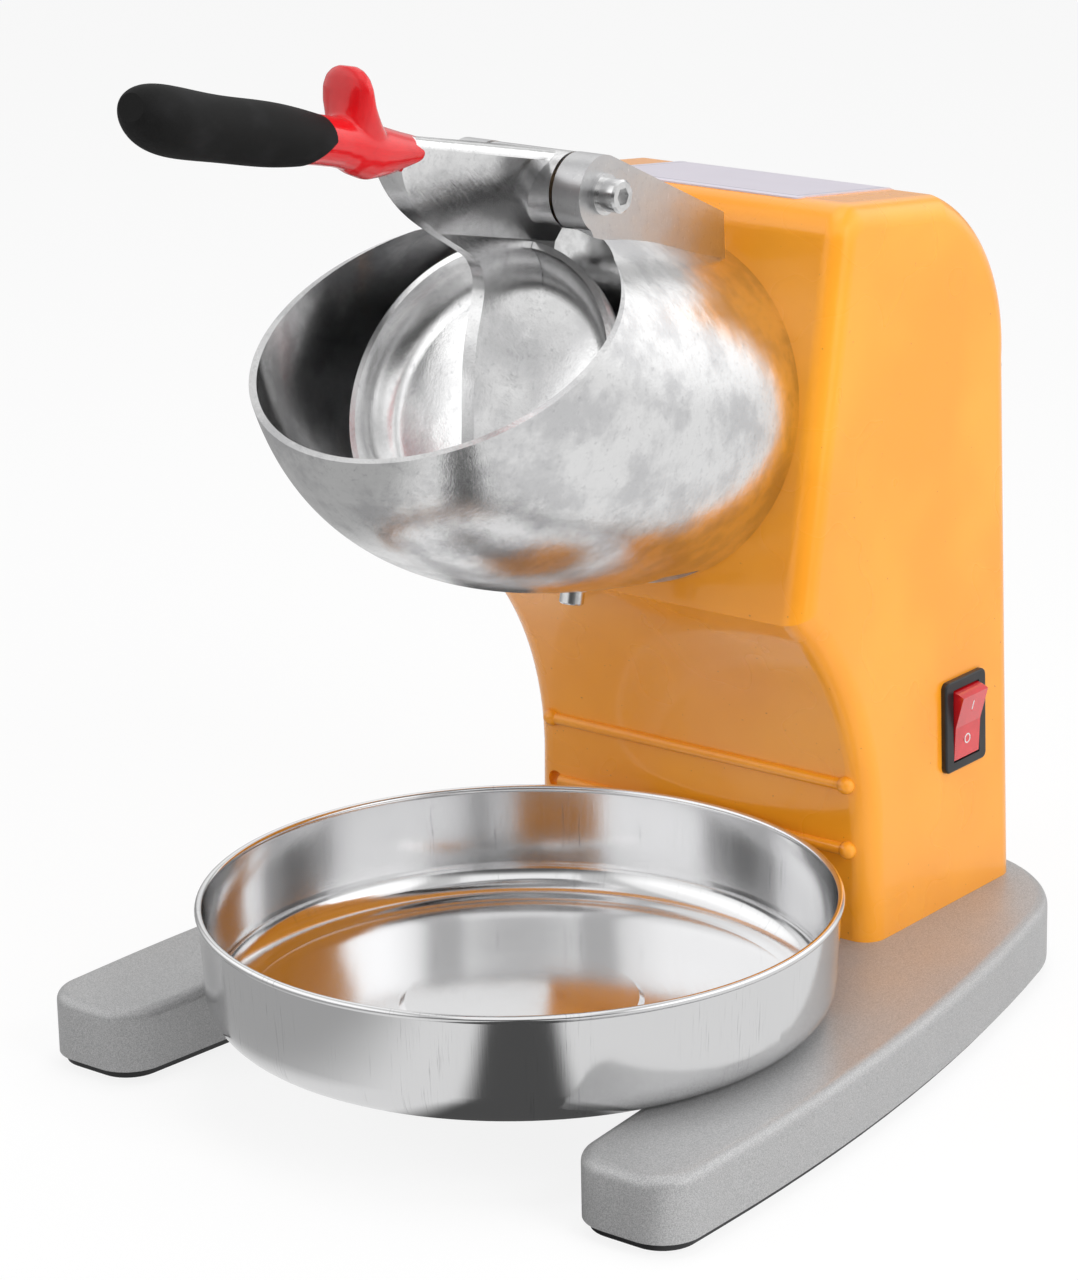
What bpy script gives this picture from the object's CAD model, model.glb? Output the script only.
# %% [markdown]
# Electric ice shaver with a hand press lever. The CAD solids come in first and stay where they are; this
# script gives them finishes, and adds the soft form of the thumb guard and the two marks on the rocker.
# All lengths are metres, in the frame of the CAD model: the lever's grip points to -Y and Z is up.

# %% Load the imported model
import bpy
from math import cos, pi, radians, sin
from mathutils import Matrix, Vector


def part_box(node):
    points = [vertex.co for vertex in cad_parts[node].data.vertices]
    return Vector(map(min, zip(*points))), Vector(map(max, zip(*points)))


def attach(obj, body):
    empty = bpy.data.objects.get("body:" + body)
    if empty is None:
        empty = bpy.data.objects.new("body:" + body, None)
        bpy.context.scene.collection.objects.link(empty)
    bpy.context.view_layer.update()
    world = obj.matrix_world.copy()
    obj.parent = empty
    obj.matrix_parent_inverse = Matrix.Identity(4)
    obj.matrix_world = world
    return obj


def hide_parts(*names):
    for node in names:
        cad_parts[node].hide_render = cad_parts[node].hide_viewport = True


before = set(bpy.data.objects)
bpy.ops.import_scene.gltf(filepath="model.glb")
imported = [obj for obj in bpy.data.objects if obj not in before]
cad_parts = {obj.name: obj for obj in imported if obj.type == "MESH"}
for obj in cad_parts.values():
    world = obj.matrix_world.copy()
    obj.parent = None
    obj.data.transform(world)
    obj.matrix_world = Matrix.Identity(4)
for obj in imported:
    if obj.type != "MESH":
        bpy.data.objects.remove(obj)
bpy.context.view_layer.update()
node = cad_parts
mm = 0.001
mm_in_metre = 1000.0

# %% [markdown]
# The camera stands to the front right and looks slightly down. Its distance, its angle and its lens were
# worked out from the round tray, which is a known circle, and from the two legs, which are mirror images.
# The small roll is part of the picture. Three vectors, right, up and back, make the camera's matrix.

# %% Camera
azimuth, elevation, roll = radians(38.6), radians(17.5), radians(-1.15)
camera_place = (0.9857, -1.2448, 0.6762)
focal_pixels, picture_height_pixels = 4150, 1280
sensor_mm = 36.0
ahead = Vector((-sin(azimuth) * cos(elevation), cos(azimuth) * cos(elevation), -sin(elevation)))
level_right = Vector((cos(azimuth), sin(azimuth), 0))
level_up = level_right.cross(ahead)
right = level_right * cos(roll) + level_up * sin(roll)
up = level_up * cos(roll) - level_right * sin(roll)
camera = bpy.data.objects.new("camera", bpy.data.cameras.new("camera"))
bpy.context.scene.collection.objects.link(camera)
camera.data.sensor_width = sensor_mm
camera.data.lens = focal_pixels * sensor_mm / picture_height_pixels
turned = Matrix((right, up, -ahead)).transposed().to_4x4()
camera.matrix_world = Matrix.Translation(camera_place) @ turned
bpy.context.scene.camera = camera
bpy.context.scene.view_settings.view_transform = "Standard"
print("lens", round(camera.data.lens, 1), "mm")

# %% [markdown]
# Shader sums are easier to read as arithmetic than as boxes and links. A Wire holds one output of a node;
# adding to it, subtracting or multiplying puts the matching Math node in the tree. A Finish holds one node
# tree, and its method add makes any node from its type, its settings and its sockets. A few sockets share
# their name with others, so these are given by number: 0, 6 and 7 are the amount and the two colours of Mix.

# %% Wires and finishes
class Wire:
    """One output socket, with Python's arithmetic."""

    def __init__(self, finish, socket):
        self.finish, self.socket = finish, socket

    def sum(self, operation, *others):
        """The Math node for an operation on this value and the others."""
        parts = dict(enumerate((self, *others)))
        return self.finish.add("ShaderNodeMath", {"operation": operation}, parts)

    def __add__(self, other):
        return self.sum("ADD", other)

    __radd__ = __add__

    def __mul__(self, other):
        return self.sum("MULTIPLY", other)

    def __sub__(self, other):
        return self.sum("SUBTRACT", other)

    def __rsub__(self, other):
        return (self * -1.0) + other

    def __abs__(self):
        return self.sum("ABSOLUTE")

    def ramp(self, low, high, to_low=0.0, to_high=1.0):
        """A smooth change from to_low to to_high while the value goes from low to high."""
        sockets = {"Value": self, "From Min": low, "From Max": high, "To Min": to_low, "To Max": to_high}
        return self.finish.add("ShaderNodeMapRange", {"interpolation_type": "SMOOTHSTEP"}, sockets)


class Finish:
    """A material or a world with its node tree emptied."""

    def __init__(self, owner):
        self.owner = owner
        owner.use_nodes = True
        self.tree = owner.node_tree
        self.tree.nodes.clear()

    def add(self, kind, settings=(), sockets=(), output=0):
        made = self.tree.nodes.new(kind)
        for name, value in dict(settings).items():
            setattr(made, name, value)
        for name, value in dict(sockets).items():
            if isinstance(value, Wire):
                self.tree.links.new(value.socket, made.inputs[name])
            else:
                made.inputs[name].default_value = value
        return Wire(self, made.outputs[output])

    def spot(self):
        """The place on the object in millimetres."""
        here = self.add("ShaderNodeTexCoord", output="Object")
        return self.add("ShaderNodeVectorMath", {"operation": "SCALE"}, {0: here, "Scale": mm_in_metre})

    def axes(self, vector):
        return [self.add("ShaderNodeSeparateXYZ", (), {"Vector": vector}, output=axis) for axis in "XYZ"]

    def along(self, vector, direction):
        """How far a vector reaches in a direction."""
        sockets = {0: vector, 1: direction}
        return self.add("ShaderNodeVectorMath", {"operation": "DOT_PRODUCT"}, sockets, output="Value")

    def join(self, x, y, z):
        return self.add("ShaderNodeCombineXYZ", (), {"X": x, "Y": y, "Z": z})

    def noise(self, vector, size, detail, rough=0.55):
        """Cloudy noise whose lumps are about size millimetres across."""
        sockets = {"Vector": vector, "Scale": 1.0 / size, "Detail": detail, "Roughness": rough}
        return self.add("ShaderNodeTexNoise", (), sockets)

    def blend(self, amount, first, second):
        """A colour between first and second."""
        sockets = {0: amount, 6: first, 7: second}
        return self.add("ShaderNodeMix", {"data_type": "RGBA"}, sockets, output=2)

    def bump(self, height, strength, depth_mm):
        sockets = {"Height": height, "Strength": strength, "Distance": depth_mm * mm}
        return self.add("ShaderNodeBump", (), sockets)

    def surface(self, **sockets):
        """The main shader, its sockets given by name with underscores, joined to the output."""
        names = {name.replace("_", " "): value for name, value in sockets.items()}
        self.add_output(self.add("ShaderNodeBsdfPrincipled", (), names))

    def add_output(self, shader):
        """The end of a material or a world, fed by this shader."""
        is_world = isinstance(self.owner, bpy.types.World)
        end = self.tree.nodes.new("ShaderNodeOutputWorld" if is_world else "ShaderNodeOutputMaterial")
        self.tree.links.new(shader.socket, end.inputs["Surface"])


def colour(red, green, blue):
    return (red, green, blue, 1.0)


def new_finish(name):
    return Finish(bpy.data.materials.new(name))


print("shader helpers ready")

# %% [markdown]
# The two housing halves are moulded or pressed shells in a glossy orange enamel. Real enamel is never quite
# flat: it has a fine orange peel, a slow change of tone and a few specks of dust. A clear coat over a
# slightly rough base gives the soft white fillet lines.

# %% Orange enamel
def orange_enamel():
    finish = new_finish("orange_enamel")
    spot = finish.spot()
    slow = finish.noise(spot, 90, 2)
    peel = finish.noise(spot, 1.6, 2)
    speck = finish.noise(spot, 2.2, 1).ramp(0.765, 0.80)
    tone = finish.blend(slow.ramp(0.35, 0.65), colour(0.91, 0.325, 0.012), colour(0.97, 0.375, 0.020))
    tone = finish.blend(speck * 0.5, tone, colour(0.35, 0.12, 0.02))
    finish.surface(
        Base_Color=tone,
        Roughness=finish.noise(spot, 60, 2).ramp(0.3, 0.7, 0.26, 0.31),
        Coat_Weight=0.45,
        Coat_Roughness=0.06,
        Normal=finish.bump(peel, 0.10, 0.03),
    )
    return finish.owner


# %% [markdown]
# The stand is a cast shell in silver paint: a grey base with fine metal flakes. The flakes make a sparkle that
# shows as small changes of tone and roughness. Paint over a casting keeps a faint unevenness.

# %% Silver paint
def silver_paint():
    finish = new_finish("silver_paint")
    spot = finish.spot()
    flake = finish.noise(spot, 0.45, 2)
    slow = finish.noise(spot, 40, 3)
    tone = finish.blend(flake.ramp(0.3, 0.7), colour(0.34, 0.34, 0.345), colour(0.54, 0.54, 0.54))
    finish.surface(
        Base_Color=tone,
        Metallic=0.45,
        Roughness=slow.ramp(0.3, 0.7, 0.40, 0.48),
        Normal=finish.bump(flake + slow * 0.6, 0.18, 0.08),
    )
    return finish.owner


# %% [markdown]
# Hopper, lever and pusher are sand-cast aluminium, polished on a wheel. Polishing leaves a bright skin with
# grey clouds, long fine scratches and shallow dips where the casting was low. Clouds drive the colour and the
# roughness, stretched noise makes the scratches, and a slow noise makes the dips.

# %% Polished cast aluminium
def cast_aluminium(name, wear, scratch_along, rough=0.21, bright=0.90):
    finish = new_finish(name)
    spot = finish.spot()
    turned = finish.add("ShaderNodeMapping", (), {"Vector": spot, "Rotation": scratch_along})
    along, across, high = finish.axes(turned)
    clouds = finish.noise(spot, 24, 4, 0.62)
    fine = finish.noise(spot, 2.6, 5, 0.75)
    scratch = finish.noise(finish.join(along * 0.04, across, high), 0.9, 3, 0.7)
    dips = finish.noise(spot, 30, 2)
    dull = clouds.ramp(0.40, 0.62) * wear
    tone = finish.blend(dull, colour(bright, bright, bright), colour(0.62, 0.62, 0.63))
    tone = finish.blend(fine.ramp(0.52, 0.74) * 0.4, tone, colour(0.42, 0.42, 0.43))
    tone = finish.blend(scratch.ramp(0.60, 0.72) * 0.5, tone, colour(0.92, 0.92, 0.92))
    finish.surface(
        Base_Color=tone,
        Metallic=1.0,
        Roughness=clouds * 0.14 + scratch * 0.14 + (rough - 0.14),
        Normal=finish.bump(dips * 1.8 + scratch * 0.16 + fine * 0.16, 0.4, 0.8),
    )
    return finish.owner


# %% [markdown]
# The tray is spun from stainless sheet and polished. On the wall the drawing marks run up and down as short
# hairlines; on the floor they run round in rings. The angle round the tray's axis gives the first, and the
# distance from it the second.

# %% Polished stainless tray
tray_x_mm, tray_y_mm = 9.0, -37.0
wall_radius_mm = 127
floor_ends_mm, wall_starts_mm = 117, 124
hairline_stretch = 0.035


def tray_steel():
    finish = new_finish("tray_steel")
    spot = finish.spot()
    across, deep, high = finish.axes(spot)
    across, deep = across - tray_x_mm, deep - tray_y_mm
    reach = (across * across + deep * deep).sum("SQRT")
    turn = across.sum("ARCTAN2", deep)
    on_wall = reach.ramp(floor_ends_mm, wall_starts_mm)
    hairline_place = finish.join(turn * wall_radius_mm, high * hairline_stretch, 0.0)
    hairline = finish.noise(hairline_place, 0.9, 3, 0.7)
    ring = finish.noise(finish.join(reach, turn * 1.5, 0.0), 0.8, 2)
    slow = finish.noise(spot, 35, 2)
    mark = hairline * on_wall + ring * (1.0 - on_wall)
    patch = finish.noise(finish.join(turn * wall_radius_mm, 0.0, 0.0), 26, 2).ramp(0.45, 0.62)
    rubbed = hairline.ramp(0.55, 0.75) * on_wall * patch
    tone = finish.blend(rubbed * 0.7, colour(0.80, 0.80, 0.805), colour(0.36, 0.36, 0.37))
    finish.surface(
        Base_Color=tone,
        Metallic=1.0,
        Roughness=mark * 0.10 + slow * 0.05 + 0.05,
        Normal=finish.bump(mark * 0.06 + slow * 0.6, 0.22, 0.5),
    )
    return finish.owner


# %% [markdown]
# Small metal pieces share one recipe: a metal with fine grain, cloudy roughness and a little tarnish. Only
# the colour, the roughness and the size of the grain change from screw to bearing to copper coil.

# %% Small metals
def metal(name, bright, dark, rough, grain_mm, depth_mm=0.03):
    finish = new_finish(name)
    spot = finish.spot()
    grain = finish.noise(spot, grain_mm, 3, 0.65)
    clouds = finish.noise(spot, grain_mm * 9, 3)
    tone = finish.blend(clouds.ramp(0.35, 0.7) * 0.6 + grain.ramp(0.5, 0.8) * 0.3, bright, dark)
    finish.surface(
        Base_Color=tone,
        Metallic=1.0,
        Roughness=clouds * 0.12 + (rough - 0.06),
        Normal=finish.bump(grain, 0.3, depth_mm),
    )
    return finish.owner


# %% [markdown]
# Plastics, paints and rubbers are one family too: a coloured base, a moulded texture of a given grain, and a
# roughness that wanders a little. Glossy ones get a clear coat; rubber gets none and a deep grain.

# %% Plastics, dark paints and rubbers
def moulded(name, base, worn, rough, grain_mm, depth_mm, coat=0.0, gloss=0.5):
    finish = new_finish(name)
    spot = finish.spot()
    grain = finish.noise(spot, grain_mm, 3, 0.6)
    clouds = finish.noise(spot, 18, 3)
    tone = finish.blend(clouds.ramp(0.4, 0.75) * 0.5 + grain.ramp(0.55, 0.8) * 0.4, base, worn)
    finish.surface(
        Base_Color=tone,
        Roughness=clouds * 0.10 + (rough - 0.05),
        Specular_IOR_Level=gloss,
        Coat_Weight=coat,
        Coat_Roughness=0.05,
        Normal=finish.bump(grain, 0.3, depth_mm),
    )
    return finish.owner


# %% [markdown]
# The rating plate is left bare. It is a pale film with a thin dark line just inside its edge, drawn from the
# distance to the plate's sides, and a faint satin grain.

# %% Bare label film
label_low, label_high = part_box("rating_plate")
label_middle = (label_low + label_high) / 2 * mm_in_metre
label_half = (label_high - label_low) / 2 * mm_in_metre
line_starts_mm, line_ends_mm, line_blur_mm = 2.6, 3.6, 0.3


def label_film():
    finish = new_finish("label_film")
    spot = finish.spot()
    x, y = finish.axes(spot)[:2]
    to_side = label_half.x - abs(x - label_middle.x)
    to_end = label_half.y - abs(y - label_middle.y)
    edge = to_side.sum("MINIMUM", to_end)
    past_start = edge.ramp(line_starts_mm, line_starts_mm + line_blur_mm)
    past_end = edge.ramp(line_ends_mm - line_blur_mm, line_ends_mm)
    line = past_start * (1.0 - past_end)
    grain = finish.noise(spot, 0.5, 2)
    tone = finish.blend(finish.noise(spot, 30, 2), colour(0.60, 0.56, 0.64), colour(0.66, 0.62, 0.70))
    tone = finish.blend(line * 0.7, tone, colour(0.16, 0.15, 0.20))
    finish.surface(Base_Color=tone, Roughness=grain * 0.1 + 0.25, Normal=finish.bump(grain, 0.1, 0.02))
    return finish.owner


# %% [markdown]
# Each CAD node gets its finish here. A node keeps its mesh; only the material in its slots changes. Each
# casting was polished by hand in its own direction and to its own shine, so each has its own copy of the
# recipe: the ears are duller than the rest.

# %% Give every node its finish
enamel = orange_enamel()
silver = silver_paint()
hopper_skin = cast_aluminium("hopper_aluminium", 0.75, (0.0, 0.6, 0.5))
lever_skin = cast_aluminium("lever_aluminium", 0.45, (0.4, 0.9, 1.2))
ear_skin = cast_aluminium("ear_aluminium", 0.8, (0.3, 1.2, 0.2), rough=0.36, bright=0.66)
pusher_skin = cast_aluminium("pusher_aluminium", 0.35, (0.2, 0.3, 0.9))
tray_skin = tray_steel()
black, dark = colour(0.012, 0.012, 0.013), colour(0.03, 0.03, 0.032)
black_paint = moulded("black_paint", black, dark, 0.40, 1.2, 0.05)
charcoal, dusty = colour(0.006, 0.006, 0.006), colour(0.020, 0.020, 0.021)
rubber = moulded("foot_rubber", charcoal, dusty, 0.85, 0.5, 0.10, gloss=0.3)
grip_rubber = moulded("grip_rubber", charcoal, dusty, 0.72, 0.42, 0.16, gloss=0.22)
black_plastic = moulded("black_plastic", black, dark, 0.38, 0.6, 0.03)
red, deep_red, lit_red = colour(0.66, 0.006, 0.010), colour(0.55, 0.005, 0.009), colour(0.78, 0.02, 0.03)
red_plastic = moulded("red_plastic", red, deep_red, 0.22, 3.0, 0.05, coat=0.5)
rocker_plastic = moulded("rocker_plastic", deep_red, lit_red, 0.16, 2.0, 0.03, coat=1.0)
white_plastic = moulded("white_plastic", colour(0.78, 0.78, 0.75), colour(0.70, 0.70, 0.66), 0.45, 0.8, 0.03)
frame_paint = moulded("frame_paint", colour(0.05, 0.05, 0.055), colour(0.09, 0.09, 0.095), 0.5, 0.9, 0.05)
bright_steel = metal("bright_steel", colour(0.80, 0.80, 0.80), colour(0.60, 0.60, 0.60), 0.20, 0.5)
zinc_steel = metal("zinc_steel", colour(0.68, 0.69, 0.70), colour(0.48, 0.48, 0.46), 0.34, 0.7)
blade_steel = metal("blade_steel", colour(0.72, 0.73, 0.75), colour(0.52, 0.53, 0.55), 0.22, 0.4)
core_steel = metal("core_steel", colour(0.34, 0.34, 0.35), colour(0.20, 0.19, 0.19), 0.55, 0.8, 0.08)
copper = metal("copper_wire", colour(0.78, 0.36, 0.16), colour(0.50, 0.20, 0.09), 0.35, 0.9, 0.15)
bronze = metal("bush_bronze", colour(0.72, 0.48, 0.22), colour(0.50, 0.32, 0.15), 0.42, 0.5, 0.05)
brass = metal("brass_tabs", colour(0.84, 0.64, 0.30), colour(0.62, 0.45, 0.20), 0.30, 0.6)
inner_cast = metal("inner_cast", colour(0.62, 0.62, 0.62), colour(0.45, 0.45, 0.45), 0.5, 1.2, 0.12)

finish_of = {
    enamel: ("front_housing", "rear_cover"),
    silver: ("base_frame",),
    hopper_skin: ("hopper", "hopper_drum"),
    ear_skin: ("hinge_ears",),
    lever_skin: ("lever",),
    pusher_skin: ("pusher_disc",),
    tray_skin: ("tray",),
    black_paint: ("base_plate",),
    rubber: ("foot_front_left", "foot_front_right", "foot_rear_left", "foot_rear_right", "shaft_seal"),
    grip_rubber: ("grip",),
    red_plastic: ("thumb_guard",),
    rocker_plastic: ("switch_rocker",),
    label_film(): ("rating_plate",),
    black_plastic: ("switch_body", "cord_gland", "cooling_fan"),
    white_plastic: ("run_capacitor", "terminal_block", "ice_scraper"),
    frame_paint: ("motor_frame", "motor_can"),
    bright_steel: (
        "hinge_bolt", "hinge_washers", "hinge_nut", "pusher_screws", "disc_screw", "blade_screws",
        "ice_scraper_screw", "motor_shaft", "bearing_front", "bearing_rear", "blade_disc",
    ),
    zinc_steel: (
        "base_plate_screws", "rear_cover_screws", "housing_screws", "hopper_screws", "motor_frame_screws",
        "motor_screws", "motor_tie_bolts", "fitting_screws", "capacitor_clip",
    ),
    blade_steel: ("blade_1", "blade_2"),
    core_steel: ("stator_core", "rotor_core"),
    copper: ("stator_windings",),
    bronze: ("bush_left", "bush_right"),
    brass: ("switch_terminals",),
    inner_cast: ("motor_front_cap", "motor_rear_cap", "hopper_flange"),
}
dressed = set()
for material, names in finish_of.items():
    for name in names:
        for slot in node[name].material_slots:
            slot.material = material
        dressed.add(name)
print("dressed", len(dressed), "of", len(node), "missing", sorted(set(node) - dressed))

# %% [markdown]
# The red thumb guard is one soft moulding: a collar round the arm that swells to a lobe below, with a tongue
# standing up for the thumb. It is drawn lying straight along -Y: a ring is extruded from section to section
# for the collar, a second stack of rings makes the tongue, and a fine remesh with some smoothing melts the
# two together, the way the real mould's fillets do. At the end it is turned up to the arm's slope.

# %% Thumb guard
hinge = (0, -0.008, 0.362)
arm_tilt = radians(12.4)
ring_points = 48
remesh_cell = 0.62 * mm
smoothing, smoothing_rounds = 0.5, 14


def deselect():
    bpy.ops.object.select_all(action="DESELECT")


def bake_place():
    """Put the object's turn, place and scale into its mesh."""
    bpy.ops.object.transform_apply(location=True, rotation=True, scale=True)


def close_mesh():
    """Turn all faces outwards and leave edit mode."""
    bpy.ops.mesh.select_all(action="SELECT")
    bpy.ops.mesh.normals_make_consistent(inside=False)
    bpy.ops.object.mode_set(mode="OBJECT")


def tube(name, upright, sections):
    """Rings (middle, half size, lean in degrees) joined into a closed tube, along Z or along -Y."""
    deselect()
    middle, half, lean = sections[0]
    turn = (0, 0, 0) if upright else (pi / 2, 0, 0)
    bpy.ops.mesh.primitive_circle_add(vertices=ring_points, radius=1, fill_type="NGON", rotation=turn)
    piece = bpy.context.object
    piece.name = name
    bake_place()
    bpy.ops.object.mode_set(mode="EDIT")
    bpy.ops.mesh.select_all(action="SELECT")
    bpy.ops.transform.resize(value=half, center_override=(0, 0, 0))
    bpy.ops.transform.translate(value=middle)
    if lean:
        bpy.ops.transform.rotate(value=radians(lean), orient_axis="X", center_override=middle)
    for (old_middle, old_half, old_lean), (middle, half, lean) in zip(sections, sections[1:]):
        bpy.ops.mesh.extrude_region_move()
        if old_lean:
            bpy.ops.transform.rotate(value=radians(-old_lean), orient_axis="X", center_override=old_middle)
        bpy.ops.transform.resize(value=[b / a for a, b in zip(old_half, half)], center_override=old_middle)
        bpy.ops.transform.translate(value=[b - a for a, b in zip(old_middle, middle)])
        if lean:
            bpy.ops.transform.rotate(value=radians(lean), orient_axis="X", center_override=middle)
    close_mesh()
    return piece


def collar_ring(along, level, half_height, half_width, lean=0):
    """An upright ring round the arm; all sizes in millimetres."""
    return ((0, -along * mm, level * mm), (half_width * mm, mm, half_height * mm), lean)


def tongue_ring(along, level, half_length, half_width):
    """A level ring of the tongue; all sizes in millimetres."""
    return ((0, -along * mm, level * mm), (half_width * mm, half_length * mm, mm), 0)


guard = tube("thumb_guard_soft", False, [
    collar_ring(77, 8.4, 5.9, 8.4, 14),
    collar_ring(79, 8.4, 6.5, 8.9, 12),
    collar_ring(86, 8.0, 7.6, 9.6),
    collar_ring(94, 7.4, 9.3, 10.4),
    collar_ring(102, 7.2, 10.6, 10.9),
    collar_ring(109, 8.2, 10.3, 10.8),
    collar_ring(114, 9.2, 9.5, 10.4),
    collar_ring(120, 9.5, 9.2, 9.9),
    collar_ring(130, 9.7, 9.3, 10.3),
    collar_ring(142, 9.8, 9.6, 10.8),
])
tongue = tube("tongue", True, [
    tongue_ring(106, 9.0, 15.5, 9.6),
    tongue_ring(108, 14.0, 12.0, 10.6),
    tongue_ring(111, 18.5, 8.4, 11.6),
    tongue_ring(114, 24.0, 5.6, 12.1),
    tongue_ring(115.6, 29.5, 4.6, 11.8),
    tongue_ring(116.4, 33.5, 4.1, 10.0),
    tongue_ring(116.8, 36.0, 3.4, 7.2),
    tongue_ring(117, 37.3, 2.2, 4.0),
])
deselect()
tongue.select_set(True)
guard.select_set(True)
bpy.context.view_layer.objects.active = guard
bpy.ops.object.join()
melt = guard.modifiers.new("melt", "REMESH")
melt.mode, melt.voxel_size = "VOXEL", remesh_cell
soften = guard.modifiers.new("soften", "SMOOTH")
soften.factor, soften.iterations = smoothing, smoothing_rounds
for modifier in ("melt", "soften"):
    bpy.ops.object.modifier_apply(modifier=modifier)
bpy.ops.object.shade_smooth()
guard.rotation_euler = (-arm_tilt, 0, 0)
guard.location = hinge
bake_place()
guard.data.materials.clear()
guard.data.materials.append(red_plastic)
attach(guard, "lever")
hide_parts("thumb_guard")
print("thumb guard", len(guard.data.polygons), "faces")

# %% [markdown]
# The rocker carries the two usual marks, a bar for on and a ring for off, printed in white. Each is a thin
# raised shape. A ray from the side finds where the rocker's face is and how it leans, and the mark is laid on
# it, so both follow the rocker when it tips.

# %% Rocker marks
mark_depth = 0.12 * mm
rocker_y, beside_rocker_x = 0.166, 0.2
ring_height, bar_height = 0.1052, 0.1205
ring_radius, ring_line = 2.2 * mm, 0.55 * mm
bar_mm = (0.6, 4.2, 1)


def lay_on(mark, height):
    """Lay a flat piece on the rocker's right face at this height and let it ride the rocker."""
    start = Vector((beside_rocker_x, rocker_y, height))
    where, normal = node["switch_rocker"].ray_cast(start, Vector((-1, 0, 0)))[1:3]
    across = Vector((0, 1, 0))
    upward = normal.cross(across).normalized()
    mark.matrix_world = Matrix.Translation(where) @ Matrix((across, upward, normal)).transposed().to_4x4()
    bake_place()
    mark.data.materials.append(mark_white)
    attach(mark, "rocker")
    print(mark.name, "at", [round(v, 4) for v in where])


def start_mark(name):
    """Name the new flat shape and open it for editing, all of it selected."""
    bpy.context.object.name = name
    bpy.ops.object.mode_set(mode="EDIT")
    bpy.ops.mesh.select_all(action="SELECT")


def end_mark(height):
    """Thicken the shape that is open for editing and lay it on the rocker."""
    bpy.ops.mesh.select_all(action="SELECT")
    bpy.ops.mesh.extrude_region_move(TRANSFORM_OT_translate={"value": (0, 0, mark_depth)})
    close_mesh()
    lay_on(bpy.context.object, height)


mark_white = moulded("mark_white", colour(0.85, 0.85, 0.85), colour(0.70, 0.66, 0.66), 0.35, 0.3, 0.01)
deselect()
bpy.ops.mesh.primitive_circle_add(vertices=ring_points, radius=ring_radius, fill_type="NGON")
start_mark("off_ring")
bpy.ops.mesh.inset(thickness=ring_line)
bpy.ops.mesh.delete(type="FACE")
end_mark(ring_height)
deselect()
bpy.ops.mesh.primitive_plane_add(size=mm)
start_mark("on_bar")
bpy.ops.transform.resize(value=bar_mm, center_override=(0, 0, 0))
end_mark(bar_height)

# %% [markdown]
# The light is a soft studio: a large box to the right, a weaker one to the left front and one overhead. What
# the camera sees of the floor and behind it is white, with the object's shadow left on the floor. Polished
# metal doesn't show that white. Its reflections come from a pattern that only glossy rays see, set out by the
# azimuth of the photograph's camera and fixed in the room: in the world a bright ceiling, lighter side walls
# with darker bars and a dark side behind the camera, and on the floor a dark strip along the line to the
# camera. The lamps are hidden from glossy rays, so that they make no square highlights.

# %% Floor, lamps and room
white = colour(1, 1, 1)
floor_size = 12
shadow_share = 0.14
strip_middle, strip_core, strip_end = -0.018, 0.034, 0.060
seen_in_metal = 0.80
to_front = Vector((sin(azimuth), -cos(azimuth), 0))


def floor_finish():
    finish = new_finish("floor")
    camera_ray = finish.add("ShaderNodeLightPath", output="Is Camera Ray")
    glossy_ray = finish.add("ShaderNodeLightPath", output="Is Glossy Ray")
    here = finish.add("ShaderNodeTexCoord", output="Object")
    aside = finish.along(here, level_right)
    beyond = finish.along(here, to_front)
    strip = 1.0 - abs(aside - strip_middle).ramp(strip_core, strip_end)
    corner = aside.ramp(-0.22, -0.12, 1.0, 0.0)
    table = (1.0 - strip * 0.90) * (1.0 - corner * 0.5) * (1.0 - beyond.ramp(0.45, 0.9) * 0.5)
    paper = finish.add("ShaderNodeBsdfDiffuse", (), {"Color": colour(0.93, 0.93, 0.93)})
    glow = finish.add("ShaderNodeEmission", (), {"Color": white, "Strength": 1.0})
    grey = finish.add("ShaderNodeEmission", (), {"Color": white, "Strength": table * seen_in_metal})
    lit = finish.add("ShaderNodeMixShader", (), {"Fac": camera_ray * (1.0 - shadow_share), 1: paper, 2: glow})
    finish.add_output(finish.add("ShaderNodeMixShader", (), {"Fac": glossy_ray, 1: lit, 2: grey}))
    return finish.owner


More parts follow.
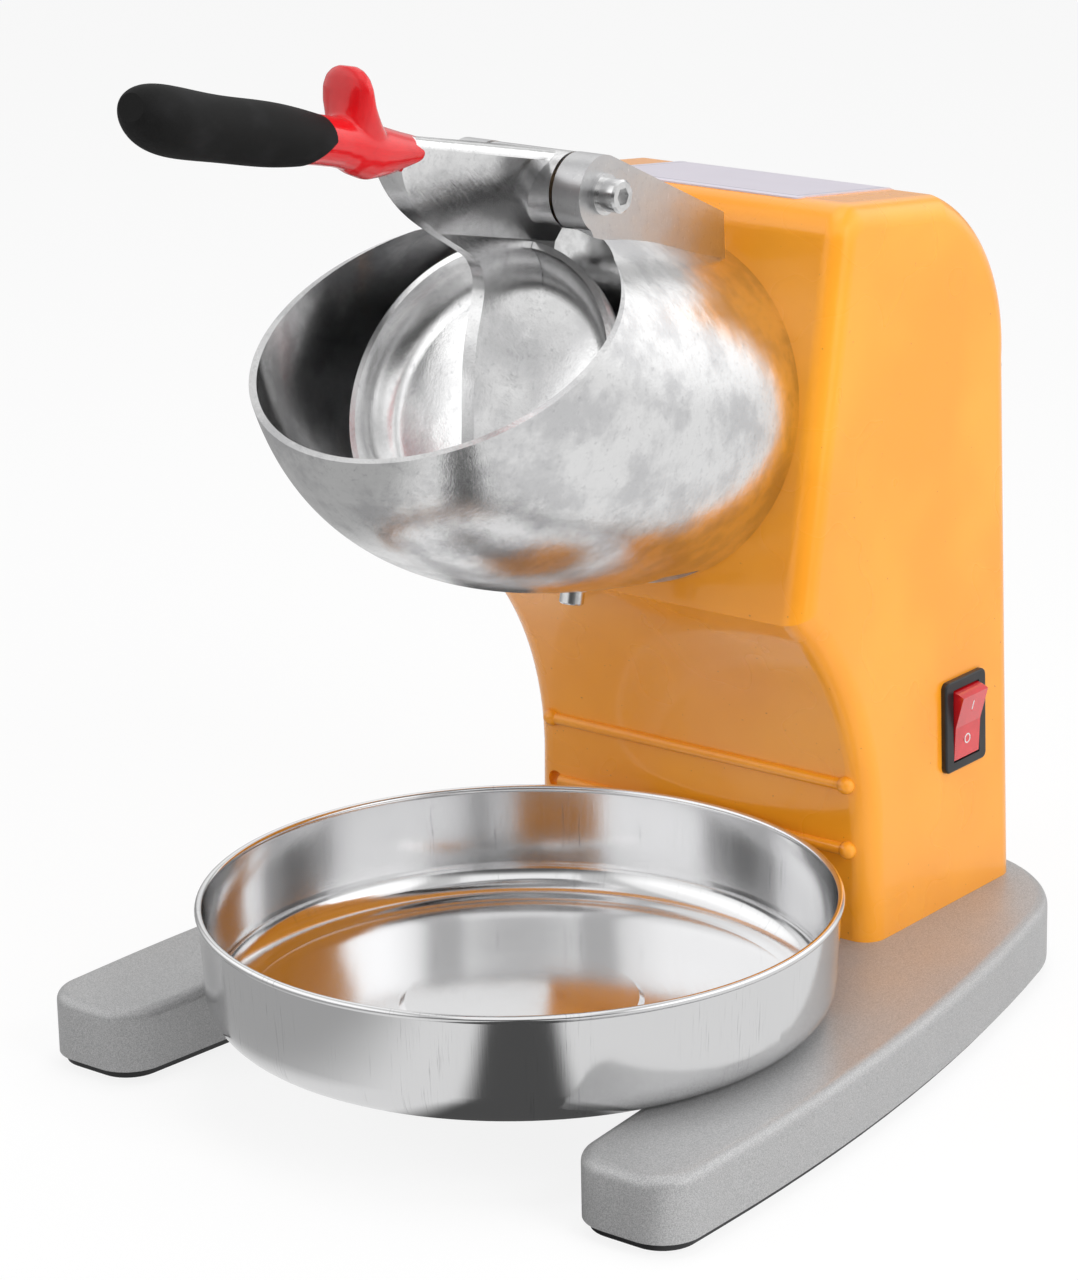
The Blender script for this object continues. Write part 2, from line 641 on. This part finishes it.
deselect()
bpy.ops.mesh.primitive_plane_add(size=floor_size, location=(0, 0, 0))
floor = bpy.context.object
floor.name = "floor"
floor.data.materials.append(floor_finish())


def softbox(name, where, size, watts):
    """An area lamp that faces the middle of the object."""
    lamp = bpy.data.objects.new(name, bpy.data.lights.new(name, "AREA"))
    bpy.context.scene.collection.objects.link(lamp)
    lamp.data.shape = "RECTANGLE"
    lamp.data.size, lamp.data.size_y = size
    lamp.data.energy = watts
    lamp.location = where
    lamp.visible_glossy = False
    lamp.rotation_euler = (object_middle - Vector(where)).to_track_quat("-Z", "Y").to_euler()


object_middle = Vector((0, 0, 0.2))
softbox("right_box", where=(1.9, -0.3, 1.1), size=(0.9, 1.5), watts=26)
softbox("left_box", where=(-1.3, -1.7, 1.0), size=(0.7, 1.3), watts=9)
softbox("top_box", where=(0.1, 0.1, 2.0), size=(1.2, 0.9), watts=14)

fill_light = 0.50
room = Finish(bpy.data.worlds.new("room"))
bpy.context.scene.world = room.owner
towards = room.add("ShaderNodeTexCoord", output="Generated")
to_camera = room.along(towards, to_front)
to_right = room.along(towards, level_right)
height = room.axes(towards)[2]
ceiling = height.ramp(-0.05, 0.6, 0.46, 1.05)
dark_side = to_camera.ramp(0.78, 0.96) * (1.0 - height.ramp(0.35, 0.65))
right_wall = to_right.ramp(0.45, 0.75) * (1.0 - height.ramp(0.5, 0.8))
left_wall = (to_right * -1.0).ramp(0.5, 0.8) * (1.0 - height.ramp(0.5, 0.8))
bars = abs(to_right).ramp(0.30, 0.38) * (1.0 - abs(to_right).ramp(0.50, 0.58))
gloss = (ceiling + right_wall * 0.55 + left_wall * 0.35) * (1.0 - dark_side * 0.85) * (1.0 - bars * 0.4)
camera_ray = room.add("ShaderNodeLightPath", output="Is Camera Ray")
glossy_ray = room.add("ShaderNodeLightPath", output="Is Glossy Ray")
unseen = fill_light + glossy_ray * (gloss - fill_light)
strength = camera_ray + (1.0 - camera_ray) * unseen
room.add_output(room.add("ShaderNodeBackground", (), {"Color": white, "Strength": strength}))
